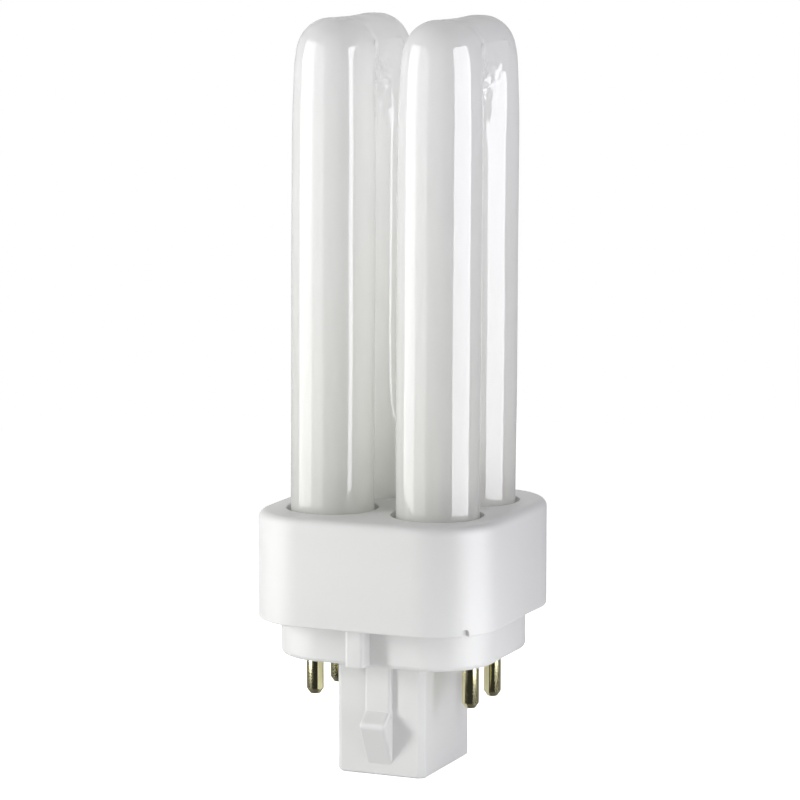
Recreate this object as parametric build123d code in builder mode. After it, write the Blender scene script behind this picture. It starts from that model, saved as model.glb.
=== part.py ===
"""Four-pin compact fluorescent lamp: two bent glass tubes in a square plug-in cap.

The lamp stands on the foot of its plug at z = 0, with its axis on Z.
Each bent tube runs front to back, and the plug's latch ribs face -Y and +Y.
"""

import os
from math import cos, radians, sin

from build123d import *

os.makedirs("parts", exist_ok=True)

# Driving dimensions, in millimetres

# Plug that goes into the lamp holder
plug_width = 12.9
plug_depth = 16.5
plug_length = 16.0
plug_corner = 0.8
plug_foot_edge = 0.4
plug_wall = 1.4
plug_floor = 1.6

# Latch rib on the front and the back of the plug, with heights above the plug's foot
latch_width = 3.75
latch_neck_proud = 0.85
latch_nose_proud = 3.05
latch_neck_end = 9.0
latch_nose_height = 7.4
latch_foot = 1.6
latch_nose_round = 0.8
latch_edge = 0.4

# Flange under the collar, which carries the pins
flange_width = 30.6
flange_depth = 26.2
flange_corner = 8.0
flange_height = 5.5
flange_edge = 0.7
flange_wall = 1.6
flange_floor = 1.8

# Key on the front and the back of the flange, which sets the holders that take the lamp
key_width = 2.65
key_offset = 0.68
key_proud = 2.4
key_rise = 0.35
key_edge = 0.5

# Seat plate on top of the flange, which closes the collar
seat_thickness = 2.0
seat_clearance = 0.1

# Collar that holds the glass
collar_size = 34.1
collar_corner = 8.7
collar_height = 14.75
collar_wall = 1.6
collar_ledge = 1.0
collar_plate = 2.2
collar_top_edge = 1.2
collar_foot_edge = 0.25
collar_hole_edge = 0.15

# Mark of the moulding gate in the collar's lower edge
gate_width = 1.1
gate_height = 1.0
gate_depth = 0.9
gate_angle = 41.0

# Glass tubes, side by side across the collar's hollow
lamp_length = 102.3
tube_margin = 1.1
tube_gap = 4.1
leg_gap = 1.8
tube_clearance = 0.6
dome_inset = 0.35
dome_taper = 9.0
bend_inset = 0.8
bend_height = 9.9
bend_drop = 0.1
link_diameter = 6.0
link_rise = 6.0

# Closed ends of the glass inside the collar
tube_end_depth = 5.2
press_length = 4.6
press_blade = 2.2
press_inset = 0.95
press_thickness = 2.6
press_round = 1.1
seal_height = 3.0
tip_diameter = 3.0
tip_length = 4.2
tip_round = 1.0

# Cement that fixes the glass in the collar
cement_thickness = 4.5
cement_clearance = 0.05

# Contact pins
pin_spacing_x = 23.0
pin_spacing_y = 8.0
pin_diameter = 2.35
pin_length = 6.4
pin_tip_length = 0.7
pin_tip_diameter = 1.4
pin_root_diameter = 1.9
pin_clearance = 0.02
pin_collar_diameter = 3.6
pin_collar_height = 0.8
pin_tail_diameter = 1.9
pin_tail_height = 1.6
pin_socket_diameter = 0.9
pin_socket_depth = 2.0

# Lead wires from the glass to the pins
wire_diameter = 0.7
wire_pitch = 4.4
wire_drop = 1.4
wire_rise = 1.2
wire_bend = 0.9
wire_end_gap = 0.2

# Heights worked out from the driving dimensions
flange_top = plug_length + flange_height
seat_top = flange_top + seat_thickness
collar_top = flange_top + collar_height
collar_roof = collar_top - collar_plate
tube_end = collar_roof - tube_end_depth
press_end = tube_end - press_length
tip_end = tube_end - tip_length
bend_centre = lamp_length - bend_drop - bend_height / 2
pin_tip = plug_length - pin_length
pin_seat = plug_length + flange_floor
pin_top = pin_seat + pin_collar_height + pin_tail_height
pin_socket_floor = pin_top - pin_socket_depth

# Plan sizes worked out from the driving dimensions
rebate_size = collar_size - 2 * collar_wall
rebate_corner = collar_corner - collar_wall
hollow_size = rebate_size - 2 * collar_ledge
hollow_corner = rebate_corner - collar_ledge
tube_diameter = (hollow_size - 2 * tube_margin - tube_gap) / 2
tube_pitch = tube_diameter + tube_gap
leg_pitch = tube_diameter + leg_gap
tube_radius = tube_diameter / 2
dome_radius = tube_radius - dome_inset
dome_foot = lamp_length - dome_radius
bend_width = tube_diameter - 2 * bend_inset
press_width = tube_diameter - 2 * press_inset
tip_radius = tip_diameter / 2
pin_radius = pin_diameter / 2
tube_x = tube_pitch / 2
leg_y = leg_pitch / 2
plug_front = plug_depth / 2
flange_front = flange_depth / 2
pin_x = pin_spacing_x / 2
pin_y = pin_spacing_y / 2

sides = {"left": -1, "right": 1}
ends = {"front": -1, "back": 1}


# Base: plug, latch ribs, flange, keys and seat plate in one moulding
with BuildPart() as base_plug:
    with BuildSketch(Plane.XY.offset(plug_length)):
        RectangleRounded(flange_width, flange_depth, flange_corner)
    extrude(amount=flange_height)
    fillet(base_plug.edges().group_by(Axis.Z)[0], flange_edge)

    # Keys, one on each side, half a turn apart
    with BuildSketch(Plane.XY.offset(plug_length + key_rise)):
        for end in ends.values():
            with Locations((end * key_offset, end * (flange_front + (key_proud - flange_wall) / 2))):
                Rectangle(key_width, key_proud + flange_wall)
    extrude(amount=flange_height - key_rise)
    key_edges = base_plug.edges().filter_by(Axis.Z).group_by(Axis.Y)
    fillet(key_edges[0] + key_edges[-1], key_edge)

    # Seat plate that fits into the collar's rebate
    with BuildSketch(Plane.XY.offset(flange_top)):
        RectangleRounded(
            rebate_size - 2 * seat_clearance,
            rebate_size - 2 * seat_clearance,
            rebate_corner - seat_clearance,
        )
    extrude(amount=seat_thickness)

    # Plug with chamfered corners and a softened foot
    with BuildSketch() as plug_outline:
        Rectangle(plug_width, plug_depth)
        chamfer(plug_outline.vertices(), plug_corner)
    extrude(amount=plug_length)
    fillet(base_plug.edges().group_by(Axis.Z)[0], plug_foot_edge)

    # Latch ribs: a narrow neck that swells to a nose and runs out above the foot
    with BuildSketch(Plane.YZ.offset(-latch_width / 2)) as latch_outline:
        for end in ends.values():
            with BuildLine():
                Polyline(
                    (end * (plug_front - plug_wall / 2), plug_length),
                    (end * (plug_front + latch_neck_proud), plug_length),
                    (end * (plug_front + latch_neck_proud), latch_neck_end),
                    (end * (plug_front + latch_nose_proud), latch_nose_height),
                    (end * plug_front, latch_foot),
                    (end * (plug_front - plug_wall / 2), latch_foot),
                    close=True,
                )
            make_face()
        noses = latch_outline.vertices().group_by(Axis.X)
        fillet(noses[0] + noses[-1], latch_nose_round)
    extrude(amount=latch_width)
    latch_reach = plug_front + latch_neck_proud / 2
    latch_edges = base_plug.edges().filter_by_position(Axis.Z, 0, plug_length, inclusive=(False, False))
    latch_edges = latch_edges.filter_by(lambda edge: abs(edge.center().Y) > latch_reach)
    fillet(latch_edges.filter_by(lambda edge: abs(edge.center().X) > latch_width / 4), latch_edge)

    # Hollows of the flange and of the plug, open upwards into the collar
    with BuildSketch(Plane.XY.offset(pin_seat)):
        RectangleRounded(
            flange_width - 2 * flange_wall,
            flange_depth - 2 * flange_wall,
            flange_corner - flange_wall,
        )
    extrude(amount=seat_top - pin_seat, mode=Mode.SUBTRACT)
    with BuildSketch(Plane.XY.offset(plug_floor)):
        Rectangle(plug_width - 2 * plug_wall, plug_depth - 2 * plug_wall)
    extrude(amount=pin_seat - plug_floor, mode=Mode.SUBTRACT)

    # Holes for the pins
    with BuildSketch(Plane.XY.offset(plug_length)):
        with GridLocations(pin_spacing_x, pin_spacing_y, 2, 2):
            Circle(pin_root_diameter / 2 + pin_clearance)
    extrude(amount=flange_floor, mode=Mode.SUBTRACT)

base_plug.part.label = "base_plug"
export_step(base_plug.part, "parts/base_plug.step")


# Collar: square shell with rounded corners, a rebate below and four round holes for the glass above
with BuildPart() as cap_collar:
    with BuildSketch(Plane.XY.offset(flange_top)):
        RectangleRounded(collar_size, collar_size, collar_corner)
    extrude(amount=collar_height)
    fillet(cap_collar.edges().group_by(Axis.Z)[-1], collar_top_edge)
    fillet(cap_collar.edges().group_by(Axis.Z)[0], collar_foot_edge)

    with BuildSketch(Plane.XY.offset(flange_top)):
        RectangleRounded(rebate_size, rebate_size, rebate_corner)
    extrude(amount=seat_thickness, mode=Mode.SUBTRACT)
    with BuildSketch(Plane.XY.offset(seat_top)):
        RectangleRounded(hollow_size, hollow_size, hollow_corner)
    extrude(amount=collar_roof - seat_top, mode=Mode.SUBTRACT)
    with BuildSketch(Plane.XY.offset(collar_roof)):
        with GridLocations(tube_pitch, leg_pitch, 2, 2):
            Circle(tube_radius + tube_clearance)
    extrude(amount=collar_plate, mode=Mode.SUBTRACT)
    hole_rims = cap_collar.edges().group_by(Axis.Z)[-1].filter_by(GeomType.CIRCLE)
    fillet(hole_rims.filter_by(lambda rim: rim.is_closed), collar_hole_edge)

    # Gate mark, square to the rounded corner
    gate_x = cos(radians(gate_angle))
    gate_y = -sin(radians(gate_angle))
    corner_centre = collar_size / 2 - collar_corner
    gate_plane = Plane(
        origin=(
            corner_centre + collar_corner * gate_x,
            collar_corner * gate_y - corner_centre,
            flange_top,
        ),
        x_dir=(-gate_y, gate_x, 0),
        z_dir=(gate_x, gate_y, 0),
    )
    with BuildSketch(gate_plane):
        SlotOverall(2 * gate_height, gate_width, rotation=90)
    extrude(amount=-gate_depth, mode=Mode.SUBTRACT)

cap_collar.part.label = "cap_collar"
export_step(cap_collar.part, "parts/cap_collar.step")


# Discharge tube: two bent tubes, linked low down at the back, closed as one sealed piece of glass
with BuildPart() as discharge_tube:
    for side in sides.values():
        for end in ends.values():
            leg_plane = Plane(origin=(side * tube_x, end * leg_y, 0), x_dir=(1, 0, 0), z_dir=(0, -1, 0))

            # Straight leg that narrows a little to a domed shoulder
            with BuildSketch(leg_plane):
                with BuildLine():
                    Polyline(
                        (0, lamp_length),
                        (0, tube_end),
                        (tube_radius, tube_end),
                        (tube_radius, dome_foot - dome_taper),
                        (dome_radius, dome_foot),
                    )
                    CenterArc((0, dome_foot), dome_radius, 0, 90)
                make_face()
            revolve(axis=Axis((side * tube_x, end * leg_y, 0), (0, 0, 1)))

        # Pressed bend across the top, oval in section
        bend_start = (side * tube_x, -leg_y, bend_centre)
        with BuildSketch(Plane(origin=bend_start, x_dir=(1, 0, 0), z_dir=(0, 1, 0))):
            Ellipse(bend_width / 2, bend_height / 2)
        extrude(amount=leg_pitch)

        # Front leg: pinched to a flat press seal with square shoulders, which the lead wires leave
        with BuildSketch(Plane.XY.offset(tube_end)):
            with Locations((side * tube_x, -leg_y)):
                Circle(tube_radius)
        with BuildSketch(Plane.XY.offset(press_end + press_blade)):
            with Locations((side * tube_x, -leg_y)):
                Ellipse(press_width / 2, press_thickness / 2)
        loft()
        with BuildSketch(Plane.XY.offset(press_end)):
            with Locations((side * tube_x, -leg_y)):
                RectangleRounded(press_width, press_thickness, press_round)
        extrude(amount=press_blade)

        # Back leg: rounded seal with the tip of its exhaust tube
        with BuildSketch(Plane(origin=(side * tube_x, leg_y, 0), x_dir=(1, 0, 0), z_dir=(0, -1, 0))):
            with BuildLine():
                Polyline((0, tube_end - seal_height), (0, tube_end), (tube_radius, tube_end))
                EllipticalCenterArc((0, tube_end), tube_radius, seal_height, start_angle=270, arc_size=90)
            make_face()
            with BuildLine():
                Polyline(
                    (0, tube_end),
                    (0, tip_end),
                    (tip_radius - tip_round, tip_end),
                )
                CenterArc((tip_radius - tip_round, tip_end + tip_round), tip_round, -90, 90)
                Polyline(
                    (tip_radius, tip_end + tip_round),
                    (tip_radius, tube_end),
                    (0, tube_end),
                )
            make_face()
        revolve(axis=Axis((side * tube_x, leg_y, 0), (0, 0, 1)))

    # Link between the two tubes
    with BuildSketch(Plane.YZ.offset(-tube_x)):
        with Locations((leg_y, collar_top + link_rise)):
            Circle(link_diameter / 2)
    extrude(amount=tube_pitch)

discharge_tube.part.label = "discharge_tube"
export_step(discharge_tube.part, "parts/discharge_tube.step")


# Cement: slab under the collar's roof, round all four legs
with BuildPart() as basing_cement:
    with BuildSketch(Plane.XY.offset(collar_roof - cement_thickness)):
        RectangleRounded(
            hollow_size - 2 * cement_clearance,
            hollow_size - 2 * cement_clearance,
            hollow_corner - cement_clearance,
        )
        with GridLocations(tube_pitch, leg_pitch, 2, 2):
            Circle(tube_radius + cement_clearance, mode=Mode.SUBTRACT)
    extrude(amount=cement_thickness)

basing_cement.part.label = "basing_cement"
export_step(basing_cement.part, "parts/basing_cement.step")


# Pins and lead wires, one of each at every corner of the flange
for end_name, end in ends.items():
    for side_name, side in sides.items():
        pin_centre = (side * pin_x, end * pin_y)

        # Turned pin: chamfered tip, shank, root in the flange's floor, collar on it and a tail with a socket
        with BuildPart() as contact_pin:
            with BuildSketch(Plane(origin=(*pin_centre, 0), x_dir=(1, 0, 0), z_dir=(0, -1, 0))):
                with BuildLine():
                    Polyline(
                        (0, pin_tip),
                        (pin_tip_diameter / 2, pin_tip),
                        (pin_radius, pin_tip + pin_tip_length),
                        (pin_radius, plug_length),
                        (pin_root_diameter / 2, plug_length),
                        (pin_root_diameter / 2, pin_seat),
                        (pin_collar_diameter / 2, pin_seat),
                        (pin_collar_diameter / 2, pin_seat + pin_collar_height),
                        (pin_tail_diameter / 2, pin_seat + pin_collar_height),
                        (pin_tail_diameter / 2, pin_top),
                        (pin_socket_diameter / 2, pin_top),
                        (pin_socket_diameter / 2, pin_socket_floor),
                        (0, pin_socket_floor),
                        close=True,
                    )
                make_face()
            revolve(axis=Axis((*pin_centre, 0), (0, 0, 1)))
        contact_pin.part.label = f"contact_pin_{end_name}_{side_name}"
        export_step(contact_pin.part, f"parts/contact_pin_{end_name}_{side_name}.step")

        # Wire from the press seal of the front leg on this side down into the pin
        wire_x = side * (tube_x - end * wire_pitch / 2)
        with BuildPart() as lead_wire:
            with BuildLine() as wire_path:
                FilletPolyline(
                    (wire_x, -leg_y, press_end),
                    (wire_x, -leg_y, press_end - wire_drop),
                    (*pin_centre, pin_top + wire_rise),
                    (*pin_centre, pin_socket_floor + wire_end_gap),
                    radius=wire_bend,
                )
            with BuildSketch(Plane(origin=wire_path.line @ 0, z_dir=wire_path.line % 0)):
                Circle(wire_diameter / 2)
            sweep(path=wire_path.line)
        lead_wire.part.label = f"lead_wire_{end_name}_{side_name}"
        export_step(lead_wire.part, f"parts/lead_wire_{end_name}_{side_name}.step")
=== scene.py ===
"""Looks of a four-pin compact fluorescent lamp that stands on its plug under soft studio light."""

from math import cos, pi, radians, sin, sqrt

import bmesh
import bpy
from mathutils import Matrix, Vector


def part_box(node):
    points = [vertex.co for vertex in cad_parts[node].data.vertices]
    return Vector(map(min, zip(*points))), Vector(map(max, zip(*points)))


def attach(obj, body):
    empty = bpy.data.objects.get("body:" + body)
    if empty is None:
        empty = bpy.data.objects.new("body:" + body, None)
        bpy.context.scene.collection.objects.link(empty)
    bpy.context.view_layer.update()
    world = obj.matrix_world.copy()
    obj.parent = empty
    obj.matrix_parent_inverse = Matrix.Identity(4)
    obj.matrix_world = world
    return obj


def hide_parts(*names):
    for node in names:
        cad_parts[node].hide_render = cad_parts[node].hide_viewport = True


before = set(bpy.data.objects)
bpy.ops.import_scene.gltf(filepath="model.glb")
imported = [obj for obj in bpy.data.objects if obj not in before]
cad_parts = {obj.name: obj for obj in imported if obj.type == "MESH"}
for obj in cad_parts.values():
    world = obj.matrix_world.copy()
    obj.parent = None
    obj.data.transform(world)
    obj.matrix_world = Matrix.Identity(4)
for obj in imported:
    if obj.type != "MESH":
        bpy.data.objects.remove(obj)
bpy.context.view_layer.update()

MM = 0.001

# Glass, in metres: the tube's part in model.glb gives its reach, and the section is the tube's own
glass_low, glass_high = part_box("discharge_tube")
collar_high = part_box("cap_collar")[1]
TUBE_RADIUS = 5.65 * MM
LEAN = Vector((0.4, 0.15, 0)) * MM

# Domes: the taper's rows are shares of it, the turns are degrees, and a square of 2 is a true round
DOME_RADIUS = 5.3 * MM
DOME_TAPER = 9.0 * MM
DOME_TAPER_ROWS = (0.45, 0.75)
DOME_TURNS = (0, 27, 52, 74)
DOME_SQUARE = 2.2

# Bends: the crease stops at a share of the half height, and the window starts at one of the taper
BEND_HALF_WIDTH = 4.05 * MM
BEND_HALF_HEIGHT = 4.95 * MM
BEND_DROP = 0.1 * MM
BEND_SQUARE = 3
BEND_CREASE = 0.85
BEND_CREASE_TOP = 0.6
BEND_WINDOW = radians(66)
BEND_WINDOW_FOOT = 0.55
BEND_WINDOW_MARGIN = 0.5 * MM
SAME_ROW = 0.1 * MM

# Link between the tubes
LINK_RADIUS = 3.0 * MM
LINK_RISE = 6.0 * MM
LINK_WINDOW = radians(20)
LINK_CLEAR_STEPS = 4

# Ends inside the cap: each pair of the round seal is a share of its height and of the tube's radius
COLLAR_PLATE = 2.2 * MM
TUBE_END_DEPTH = 5.2 * MM
PRESS_TAPER = 2.4 * MM
PRESS_HALF_WIDTH = 4.7 * MM
PRESS_HALF_THICKNESS = 1.3 * MM
PRESS_EDGE = 0.3 * MM
PRESS_END_WIDTH = 0.9 * PRESS_HALF_WIDTH
PRESS_END_THICKNESS = 0.7 * PRESS_HALF_THICKNESS
SEAL_HEIGHT = 3.0 * MM
SEAL_ROUND = ((0.5, 0.9), (0.9, 0.55))
TIP_RADIUS = 1.5 * MM
TIP_LENGTH = 4.2 * MM
TIP_EDGE = 0.3 * TIP_RADIUS
TIP_END = 0.6

# Unevenness: long waves from drawing, and wrinkles round a point below the middle of each bend
DRAWN_LENGTH = 18 * MM
DRAWN_DEPTH = 0.12 * MM
WRINKLE_LENGTH = 1.3 * MM
WRINKLE_DEPTH = 1.4 * MM
CROTCH_FORWARD = 0.6 * MM
CROTCH_DROP = 0.8
CROTCH_REACH = 5 * MM

leg_x = glass_high[0] - TUBE_RADIUS
leg_y = glass_high[1] - TUBE_RADIUS
lamp_top = glass_high[2]
collar_top = collar_high[2]
tube_end = collar_top - COLLAR_PLATE - TUBE_END_DEPTH
press_end = glass_low[2]
dome_foot = lamp_top - DOME_RADIUS
bend_centre = lamp_top - BEND_DROP - BEND_HALF_HEIGHT
link_height = collar_top + LINK_RISE

# Patterns of the finishes, as real sizes: a wave texture turns by 20 radians over one unit
SPARK_GRAIN = 0.35 * MM
MOULD_FLOW = 14 * MM
DRAWN_STREAK = 7 * MM
LATHE_PITCH = 0.4935 * MM
CEMENT_GRIT = 0.5 * MM
WIRE_MARK = 0.15 * MM
WAVE_RADIANS = 20

# Share of the light that passes through the white coating
COATING_PASSES = 0.42

# Camera, at the photograph's angle
CAMERA_AZIMUTH = radians(23.18)
CAMERA_ELEVATION = radians(8.65)
CAMERA_DISTANCE = 537.4 * MM
CAMERA_AIM = Vector((-0.47, -0.20, 50.37)) * MM
CAMERA_LENS = 178.23


def linear(colour):
    """An sRGB hex colour as linear red, green, blue and alpha."""
    parts = [int(colour[i:i + 2], 16) / 255 for i in (1, 3, 5)]
    return [p / 12.92 if p <= 0.04045 else ((p + 0.055) / 1.055) ** 2.4 for p in parts] + [1.0]


def add(tree, kind, sockets=(), links=(), **settings):
    """Add a node to a tree, with its settings, its socket values and the outputs that feed it."""
    made = tree.nodes.new(kind)
    for name, value in settings.items():
        setattr(made, name, value)
    for socket, value in dict(sockets).items():
        made.inputs[socket].default_value = value
    for socket, output in dict(links).items():
        tree.links.new(output, made.inputs[socket])
    return made


def new_material(name):
    """An empty material with its node tree and output node."""
    material = bpy.data.materials.new(name)
    material.use_nodes = True
    tree = material.node_tree
    tree.nodes.clear()
    return material, tree, tree.nodes.new("ShaderNodeOutputMaterial")


def moulded_plastic():
    """White PBT from a fine-sparked mould: a soft sheen, broken up by a grain too small to see singly."""
    material, tree, output = new_material("moulded_white_pbt")
    coords = add(tree, "ShaderNodeTexCoord")
    # Spark grain is finer than this, and is drawn at a third of a millimetre so that it shows
    grain = add(
        tree, "ShaderNodeTexNoise",
        {"Scale": 1 / SPARK_GRAIN, "Detail": 2.0},
        {"Vector": coords.outputs["Object"]},
    )
    flow = add(
        tree, "ShaderNodeTexNoise",
        {"Scale": 1 / MOULD_FLOW, "Detail": 1.0},
        {"Vector": coords.outputs["Object"]},
    )
    tone = add(tree, "ShaderNodeValToRGB", links={"Fac": flow.outputs["Fac"]})
    tone.color_ramp.elements[0].color = linear("#d6d7d5")
    tone.color_ramp.elements[1].color = linear("#dbdbda")
    sheen = add(
        tree, "ShaderNodeMapRange",
        {"To Min": 0.46, "To Max": 0.56},
        {"Value": flow.outputs["Fac"]},
    )
    bump = add(
        tree, "ShaderNodeBump",
        {"Strength": 0.12, "Distance": 0.02 * MM},
        {"Height": grain.outputs["Fac"]},
    )
    shader = add(
        tree, "ShaderNodeBsdfPrincipled",
        {"IOR": 1.48},
        {
            "Base Color": tone.outputs["Color"],
            "Roughness": sheen.outputs["Result"],
            "Normal": bump.outputs["Normal"],
        },
    )
    tree.links.new(shader.outputs["BSDF"], output.inputs["Surface"])
    return material


def coated_glass():
    """Clear drawn glass over matte white phosphor: sharp, slightly wandering reflections on soft white."""
    material, tree, output = new_material("phosphor_coated_glass")
    coords = add(tree, "ShaderNodeTexCoord")
    # The coating's colour is painted darker and warmer from the top down to the collar, as painted shade low
    # on the legs
    height = add(tree, "ShaderNodeSeparateXYZ", links={"Vector": coords.outputs["Object"]})
    level = add(
        tree, "ShaderNodeMapRange",
        {"From Min": collar_top, "From Max": lamp_top},
        {"Value": height.outputs["Z"]},
    )
    tone = add(tree, "ShaderNodeValToRGB", links={"Fac": level.outputs["Result"]})
    tone.color_ramp.elements[0].color = linear("#eaeae7")
    tone.color_ramp.elements[1].color = linear("#f5f5f5")
    drawn = add(
        tree, "ShaderNodeMapping",
        {"Scale": (1.0, 1.0, 0.25)},
        {"Vector": coords.outputs["Object"]},
    )
    waves = add(
        tree, "ShaderNodeTexNoise",
        {"Scale": 1 / DRAWN_STREAK, "Detail": 1.0},
        {"Vector": drawn.outputs["Vector"]},
    )
    bump = add(
        tree, "ShaderNodeBump",
        {"Strength": 0.3, "Distance": 0.3 * MM},
        {"Height": waves.outputs["Fac"]},
    )
    face = add(
        tree, "ShaderNodeBsdfPrincipled",
        {
            "Roughness": 0.7, "Specular IOR Level": 0.0,
            "Coat Weight": 1.0, "Coat Roughness": 0.03, "Coat IOR": 1.7,
        },
        {"Base Color": tone.outputs["Color"], "Coat Normal": bump.outputs["Normal"]},
    )
    through = add(tree, "ShaderNodeBsdfTranslucent", links={"Color": tone.outputs["Color"]})
    shader = add(
        tree, "ShaderNodeMixShader",
        {"Fac": COATING_PASSES},
        {1: face.outputs["BSDF"], 2: through.outputs["BSDF"]},
    )
    tree.links.new(shader.outputs["Shader"], output.inputs["Surface"])
    return material


def turned_brass():
    """Bright brass off the lathe: pale yellow, with fine rings that draw the reflections out a little."""
    material, tree, output = new_material("turned_brass")
    coords = add(tree, "ShaderNodeTexCoord")
    # A lathe leaves finer rings, which are drawn about half a millimetre apart so that they show
    lathe = add(
        tree, "ShaderNodeTexWave",
        {"Scale": 2 * pi / (WAVE_RADIANS * LATHE_PITCH), "Distortion": 0.6},
        {"Vector": coords.outputs["Object"]},
        bands_direction="Z",
    )
    bump = add(
        tree, "ShaderNodeBump",
        {"Strength": 0.02, "Distance": 0.02 * MM},
        {"Height": lathe.outputs["Fac"]},
    )
    shader = add(
        tree, "ShaderNodeBsdfPrincipled",
        {"Base Color": linear("#e6e1b4"), "Metallic": 1.0, "Roughness": 0.12},
        {"Normal": bump.outputs["Normal"]},
    )
    tree.links.new(shader.outputs["BSDF"], output.inputs["Surface"])
    return material


def baked_cement():
    """Baked phenolic cement with a mineral filler: matte, buff and gritty."""
    material, tree, output = new_material("baked_cement")
    coords = add(tree, "ShaderNodeTexCoord")
    grit = add(
        tree, "ShaderNodeTexNoise",
        {"Scale": 1 / CEMENT_GRIT, "Detail": 3.0},
        {"Vector": coords.outputs["Object"]},
    )
    tone = add(tree, "ShaderNodeValToRGB", links={"Fac": grit.outputs["Fac"]})
    tone.color_ramp.elements[0].color = linear("#b3a994")
    tone.color_ramp.elements[1].color = linear("#cfc6b4")
    bump = add(
        tree, "ShaderNodeBump",
        {"Strength": 0.4, "Distance": 0.1 * MM},
        {"Height": grit.outputs["Fac"]},
    )
    shader = add(
        tree, "ShaderNodeBsdfPrincipled",
        {"Roughness": 0.9},
        {"Base Color": tone.outputs["Color"], "Normal": bump.outputs["Normal"]},
    )
    tree.links.new(shader.outputs["BSDF"], output.inputs["Surface"])
    return material


def nickel_wire():
    """Drawn wire with nickel plating: grey metal with a fine, uneven sheen."""
    material, tree, output = new_material("nickel_plated_wire")
    coords = add(tree, "ShaderNodeTexCoord")
    marks = add(
        tree, "ShaderNodeTexNoise",
        {"Scale": 1 / WIRE_MARK, "Detail": 2.0},
        {"Vector": coords.outputs["Object"]},
    )
    sheen = add(
        tree, "ShaderNodeMapRange",
        {"To Min": 0.25, "To Max": 0.4},
        {"Value": marks.outputs["Fac"]},
    )
    shader = add(
        tree, "ShaderNodeBsdfPrincipled",
        {"Base Color": linear("#c9c7c2"), "Metallic": 1.0},
        {"Roughness": sheen.outputs["Result"]},
    )
    tree.links.new(shader.outputs["BSDF"], output.inputs["Surface"])
    return material


# Glass: a cage of rings that subdivision rounds off
RING = 16
BEND_RING = 20
LINK_RING = 8


def swell(points):
    """How much wider a ring of cage points is than the round that subdivision draws from it."""
    return 3 / (2 + cos(2 * pi / points))


cage_radius = TUBE_RADIUS * swell(RING)
link_step = cage_radius * sin(2 * pi / RING)


def draw_rows(bm, edges, centre, start, rows):
    """Extrude a ring through rows of (height, half width, half depth) about an upright axis."""
    height, width, depth = start
    for next_height, next_width, next_depth in rows:
        made = bmesh.ops.extrude_edge_only(bm, edges=edges)["geom"]
        verts = [g for g in made if isinstance(g, bmesh.types.BMVert)]
        edges = [g for g in made if isinstance(g, bmesh.types.BMEdge) and all(v in verts for v in g.verts)]
        bmesh.ops.scale(
            bm, verts=verts, space=Matrix.Translation(-centre),
            vec=(next_width / width, next_depth / depth, 1),
        )
        bmesh.ops.translate(bm, verts=verts, vec=(0, 0, next_height - height))
        height, width, depth = next_height, next_width, next_depth
    return edges


def close_end(bm, edges, height):
    """Close a ring with a fan of faces to a point at that height."""
    face = bmesh.ops.contextual_create(bm, geom=edges)["faces"]
    point = bmesh.ops.poke(bm, faces=face)["verts"][0]
    point.co.z = height


def glass_leg(bm, side, end):
    """One leg: straight up from its sealed end, drawn in a little, and closed with a dome."""
    centre = Vector((side * leg_x, end * leg_y, 0))
    foot = (tube_end, cage_radius, cage_radius)
    bmesh.ops.create_circle(
        bm, segments=RING, radius=cage_radius,
        matrix=Matrix.Translation(centre + Vector((0, 0, tube_end))),
    )
    edges = [e for e in bm.edges if e.is_wire]

    shoulder = dome_foot - DOME_TAPER
    rows = [(height, cage_radius, cage_radius) for height in (
        collar_top, link_height - link_step, link_height, link_height + link_step,
        link_height + LINK_CLEAR_STEPS * link_step, (link_height + shoulder) / 2, shoulder,
    )]
    narrow = DOME_RADIUS * swell(RING)
    for share in DOME_TAPER_ROWS:
        reach = cage_radius + share * (narrow - cage_radius)
        rows.append((shoulder + share * DOME_TAPER, reach, reach))
    for turn in DOME_TURNS:
        reach = narrow * cos(radians(turn)) ** (2 / DOME_SQUARE)
        rows.append((dome_foot + narrow * sin(radians(turn)) ** (2 / DOME_SQUARE), reach, reach))
    close_end(bm, draw_rows(bm, edges, centre, foot, rows), lamp_top)

    # The front legs end in a flat press seal and the back legs in a rounded seal with a drawn-off tip
    if end < 0:
        last = press_end
        flat = (PRESS_HALF_WIDTH * swell(RING), PRESS_HALF_THICKNESS * swell(RING))
        seal = [
            (tube_end - PRESS_TAPER, *flat),
            (press_end + PRESS_EDGE, *flat),
            (press_end, PRESS_END_WIDTH, PRESS_END_THICKNESS),
        ]
    else:
        last = tube_end - TIP_LENGTH
        tip = TIP_RADIUS * swell(RING)
        seal = [
            (tube_end - depth * SEAL_HEIGHT, share * cage_radius, share * cage_radius)
            for depth, share in SEAL_ROUND
        ]
        seal += [
            (tube_end - SEAL_HEIGHT, tip, tip),
            (last + TIP_EDGE, tip, tip),
            (last, TIP_END * tip, TIP_END * tip),
        ]
    close_end(bm, draw_rows(bm, edges, centre, foot, seal), last)


def open_window(bm, centre, direction, half_angle, low, high):
    """Take out a leg's faces towards a direction, between two heights, and return all open edges."""
    faces = []
    for face in bm.faces:
        offset = face.calc_center_median() - centre
        height = offset.z
        offset.z = 0
        if offset.length < 2 * TUBE_RADIUS and low < height < high and offset.angle(direction) < half_angle:
            faces.append(face)
    bmesh.ops.delete(bm, geom=faces, context="FACES")
    return [e for e in bm.edges if e.is_boundary]


def oval_height(across, power):
    """Height of a squared oval at a share of its half width, as a share of its half height."""
    return (1 - across ** power) ** (1 / power)


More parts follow.
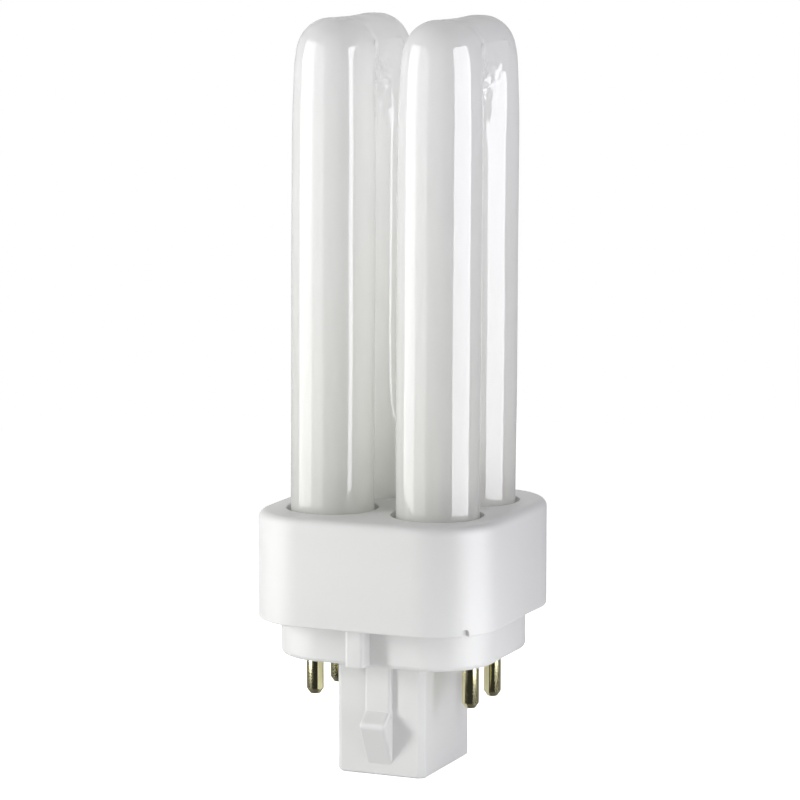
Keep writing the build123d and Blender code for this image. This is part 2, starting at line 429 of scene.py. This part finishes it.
def join_bend(bm, side):
    """Join a pair of legs near the top by a bend that is narrower than they are, and oval in section."""
    for end in (-1, 1):
        centre = Vector((side * leg_x, end * leg_y, 0))
        inward = Vector((0, -end, 0))
        edges = open_window(
            bm, centre, inward, BEND_WINDOW,
            dome_foot - BEND_WINDOW_FOOT * DOME_TAPER, lamp_top - BEND_WINDOW_MARGIN,
        )
    opening = {v for e in edges for v in e.verts}
    lowest = min(v.co.z for v in opening)
    for v in opening:
        across = min(1.0, abs(v.co.x - side * leg_x) / (DOME_RADIUS * swell(RING)))
        if v.co.z < lowest + SAME_ROW:
            v.co.z = bend_centre - BEND_HALF_HEIGHT * oval_height(across, BEND_SQUARE)
        else:
            ridge = bend_centre + BEND_HALF_HEIGHT * swell(BEND_RING) * oval_height(across, DOME_SQUARE)
            v.co.z = max(v.co.z, ridge)
    crease = bm.edges.layers.float["crease_edge"]
    for e in edges:
        if all(v.co.z < bend_centre + BEND_CREASE_TOP * BEND_HALF_HEIGHT for v in e.verts):
            e[crease] = BEND_CREASE
    bridge = bmesh.ops.bridge_loops(bm, edges=edges)
    cut = bmesh.ops.subdivide_edges(bm, edges=bridge["edges"], cuts=2, use_grid_fill=True)
    for v in cut["geom_inner"]:
        if not isinstance(v, bmesh.types.BMVert):
            continue
        across = (v.co.x - side * leg_x) / BEND_HALF_WIDTH
        up = (v.co.z - bend_centre) / BEND_HALF_HEIGHT
        power = DOME_SQUARE if up > 0 else BEND_SQUARE
        reach = swell(BEND_RING) / (abs(across) ** power + abs(up) ** power) ** (1 / power)
        v.co.x = side * leg_x + across * reach * BEND_HALF_WIDTH
        v.co.z = bend_centre + up * reach * BEND_HALF_HEIGHT


def join_link(bm):
    """Join the two back legs low down by a short tube, through which the discharge passes."""
    for side in (-1, 1):
        centre = Vector((side * leg_x, leg_y, 0))
        edges = open_window(
            bm, centre, Vector((-side, 0, 0)), LINK_WINDOW,
            link_height - link_step, link_height + link_step,
        )
    for v in {v for e in edges for v in e.verts}:
        side = 1 if v.co.x > 0 else -1
        spoke = Vector((v.co.y - leg_y, v.co.z - link_height))
        spoke = spoke.normalized() * LINK_RADIUS * swell(LINK_RING)
        v.co.x = side * (leg_x - sqrt(cage_radius * cage_radius - spoke.x * spoke.x))
        v.co.y = leg_y + spoke.x
        v.co.z = link_height + spoke.y
    bmesh.ops.bridge_loops(bm, edges=edges)


def near_crotch(at):
    """How strongly a point of the cage is wrinkled: fully in a bend's crotch and not at all away from it."""
    reach = Vector((at.y + CROTCH_FORWARD, at.z - bend_centre + CROTCH_DROP * BEND_HALF_HEIGHT))
    return max(0.0, 1.0 - (reach.length / CROTCH_REACH) ** 2)


def below_dome(at):
    """How strongly a point of the cage is wavy: fully on the drawn legs and not at all on the domes."""
    return 0.0 if at.z > dome_foot else 1.0


def uneven(piece, name, share, grain, depth, kind):
    """Push the glass in and out along its normals by a noise, by a share for each point of the cage."""
    group = piece.vertex_groups.new(name=name)
    for v in piece.data.vertices:
        group.add([v.index], share(v.co), "REPLACE")
    noise = bpy.data.textures.new(name, "CLOUDS")
    noise.noise_scale = grain
    noise.noise_depth = 1
    noise.noise_type = kind
    push = piece.modifiers.new(name, "DISPLACE")
    push.texture = noise
    push.texture_coords = "LOCAL"
    push.vertex_group = name
    push.strength = depth
    push.mid_level = 0.5


def glass_tubes():
    """Both bent tubes and the link between them, as one piece of glass."""
    bm = bmesh.new()
    bm.edges.layers.float.new("crease_edge")
    for side in (-1, 1):
        for end in (-1, 1):
            glass_leg(bm, side, end)
        join_bend(bm, side)
    join_link(bm)
    for v in bm.verts:
        v.co += LEAN * max(0.0, (v.co.z - collar_top) / (lamp_top - collar_top))
    bmesh.ops.recalc_face_normals(bm, faces=bm.faces)
    mesh = bpy.data.meshes.new("glass_tubes")
    for face in bm.faces:
        face.smooth = True
    bm.to_mesh(mesh)
    bm.free()
    piece = bpy.data.objects.new("glass_tubes", mesh)
    bpy.context.collection.objects.link(piece)
    rounding = piece.modifiers.new("rounding", "SUBSURF")
    rounding.levels = 3
    rounding.render_levels = 3
    uneven(piece, "drawn", below_dome, DRAWN_LENGTH, DRAWN_DEPTH, "SOFT_NOISE")
    uneven(piece, "pinched", near_crotch, WRINKLE_LENGTH, WRINKLE_DEPTH, "HARD_NOISE")
    mesh.materials.append(coated_glass())
    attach(piece, "root")
    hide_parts("discharge_tube")


glass_tubes()

# Finish of the other pieces
plastic, brass, cement, wire = moulded_plastic(), turned_brass(), baked_cement(), nickel_wire()
finishes = {
    "base_plug": plastic,
    "cap_collar": plastic,
    "basing_cement": cement,
}
for name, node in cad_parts.items():
    if name.startswith("contact_pin"):
        finishes[name] = brass
    if name.startswith("lead_wire"):
        finishes[name] = wire
    if name in finishes:
        for material_slot in node.material_slots:
            material_slot.material = finishes[name]


# Studio: a level of 1 is white, heights are in mm, and the room's sides are cosines to the view
FLOOR_RADIUS = 300 * MM
FLOOR_GAP = 0.02 * MM
FLOOR_LIFT = 0.86
ROOM_NEAR = -0.6
ROOM_FAR = 0.9
ROOM_DARK = 0.03
ROOM_PALE = 0.3
SKY_FILL = 0.29
TENT_HEIGHT = 168
STRIP_HEIGHT = 134
CARD_HEIGHT = 15
POWER_PER_RADIANCE = 4


def studio_floor():
    """Pale paper floor that reads as white to the camera, apart from the lamp's shadow."""
    material, tree, output = new_material("white_paper")
    path = add(tree, "ShaderNodeLightPath")
    paper = add(tree, "ShaderNodeBsdfDiffuse", {"Color": linear("#f4f4f4")})
    lift = add(
        tree, "ShaderNodeMath",
        {1: FLOOR_LIFT},
        {0: path.outputs["Is Camera Ray"]},
        operation="MULTIPLY",
    )
    glow = add(tree, "ShaderNodeEmission", links={"Strength": lift.outputs["Value"]})
    both = add(tree, "ShaderNodeAddShader", links={0: paper.outputs["BSDF"], 1: glow.outputs["Emission"]})
    tree.links.new(both.outputs["Shader"], output.inputs["Surface"])
    bm = bmesh.new()
    bmesh.ops.create_circle(
        bm, cap_ends=True, segments=64, radius=FLOOR_RADIUS, matrix=Matrix.Translation((0, 0, -FLOOR_GAP)),
    )
    mesh = bpy.data.meshes.new("floor")
    bm.to_mesh(mesh)
    bm.free()
    mesh.materials.append(material)
    floor = bpy.data.objects.new("floor", mesh)
    bpy.context.collection.objects.link(floor)
    floor.visible_glossy = False


def softbox(name, start, end, height, radiance, colour, seen_by):
    """Wall of a light tent, from the floor up to a height, between two points of its plan, all in mm."""
    start, end = Vector(start).to_3d() * MM, Vector(end).to_3d() * MM
    width = (end - start).length
    height *= MM
    light = bpy.data.lights.new(name, "AREA")
    light.shape = "RECTANGLE"
    light.size = width
    light.size_y = height
    light.energy = radiance * POWER_PER_RADIANCE * width * height
    light.color = linear(colour)[:3]
    wall = bpy.data.objects.new(name, light)
    bpy.context.collection.objects.link(wall)
    outward = (end - start).cross(Vector((0, 0, 1)))
    outward *= 1 if outward.dot(start + end) > 0 else -1
    wall.location = (start + end) / 2 + Vector((0, 0, height / 2))
    wall.rotation_euler = outward.to_track_quat("Z", "Y").to_euler()
    wall.visible_camera = False
    wall.visible_diffuse = seen_by == "diffuse"
    wall.visible_transmission = seen_by == "diffuse"
    wall.visible_glossy = seen_by == "glossy"


def studio_world():
    """White backdrop for the camera, a dim room that is paler at the back for gloss, and a soft sky."""
    world = bpy.data.worlds.new("studio")
    bpy.context.scene.world = world
    world.use_nodes = True
    tree = world.node_tree
    tree.nodes.clear()
    path = add(tree, "ShaderNodeLightPath")
    coords = add(tree, "ShaderNodeTexCoord")
    away = add(
        tree, "ShaderNodeVectorMath",
        {1: (-sin(CAMERA_AZIMUTH), cos(CAMERA_AZIMUTH), 0)},
        {0: coords.outputs["Generated"]},
        operation="DOT_PRODUCT",
    )
    room_level = add(
        tree, "ShaderNodeMapRange",
        {"From Min": ROOM_NEAR, "From Max": ROOM_FAR, "To Min": ROOM_DARK, "To Max": ROOM_PALE},
        {"Value": away.outputs["Value"]},
    )
    height = add(tree, "ShaderNodeSeparateXYZ", links={"Vector": coords.outputs["Generated"]})
    sky_level = add(
        tree, "ShaderNodeMapRange",
        {"From Min": 0.0, "From Max": 1.0, "To Min": 0.0, "To Max": SKY_FILL},
        {"Value": height.outputs["Z"]},
    )
    white = {"Color": linear("#ffffff")}
    backdrop = add(tree, "ShaderNodeBackground", {"Strength": 1.0, **white})
    room = add(tree, "ShaderNodeBackground", white, {"Strength": room_level.outputs["Result"]})
    sky = add(tree, "ShaderNodeBackground", white, {"Strength": sky_level.outputs["Result"]})
    surroundings = add(
        tree, "ShaderNodeMixShader",
        links={"Fac": path.outputs["Is Glossy Ray"], 1: sky.outputs[0], 2: room.outputs[0]},
    )
    clear = add(
        tree, "ShaderNodeMath",
        links={0: path.outputs["Is Camera Ray"], 1: path.outputs["Is Transmission Ray"]},
        operation="MAXIMUM",
    )
    seen = add(
        tree, "ShaderNodeMixShader",
        links={"Fac": clear.outputs["Value"], 1: surroundings.outputs[0], 2: backdrop.outputs[0]},
    )
    add(tree, "ShaderNodeOutputWorld", links={"Surface": seen.outputs[0]})


def studio_camera():
    """Long lens, a little above the lamp and to the right of its front."""
    data = bpy.data.cameras.new("camera")
    data.lens = CAMERA_LENS
    camera = bpy.data.objects.new("camera", data)
    bpy.context.collection.objects.link(camera)
    outward = Vector((
        cos(CAMERA_ELEVATION) * sin(CAMERA_AZIMUTH),
        -cos(CAMERA_ELEVATION) * cos(CAMERA_AZIMUTH),
        sin(CAMERA_ELEVATION),
    ))
    camera.location = CAMERA_AIM + outward * CAMERA_DISTANCE
    camera.rotation_euler = outward.to_track_quat("Z", "Y").to_euler()
    bpy.context.scene.camera = camera


studio_floor()

# Walls of the tent that light the matte surfaces and the coating
softbox("left_key", (-182, -184), (-210, -152), TENT_HEIGHT, 17.0, "#ffffff", "diffuse")
softbox("right_key", (232, -40), (232, 10), TENT_HEIGHT, 3.4, "#f4f2ff", "diffuse")
softbox("front_right_fill", (40, -110), (72, -44), TENT_HEIGHT, 0.68, "#ffffff", "diffuse")
softbox("back_left_fill", (-85, -20), (-60, 80), TENT_HEIGHT, 0.55, "#ffffff", "diffuse")
softbox("back_fill", (-60, 80), (0, 115), TENT_HEIGHT, 2.2, "#ffffff", "diffuse")
softbox("back_right_fill", (90, 45), (60, 110), TENT_HEIGHT, 0.6, "#f4f2ff", "diffuse")
softbox("plug_card", (38, -42), (46, -8), CARD_HEIGHT, 2.2, "#ffffff", "diffuse")

# Strips that only the gloss of the glass, the brass and the plastic shows
softbox("left_strip", (-42, -58), (-85, -22), STRIP_HEIGHT, 4.2, "#ffffff", "glossy")
softbox("left_front_strip", (-12, -102), (-42, -58), STRIP_HEIGHT, 1.7, "#ffffff", "glossy")
softbox("right_strip", (72, -44), (87, 28), STRIP_HEIGHT, 6.0, "#fbfaff", "glossy")

studio_world()
studio_camera()
bpy.context.scene.view_settings.view_transform = "Standard"
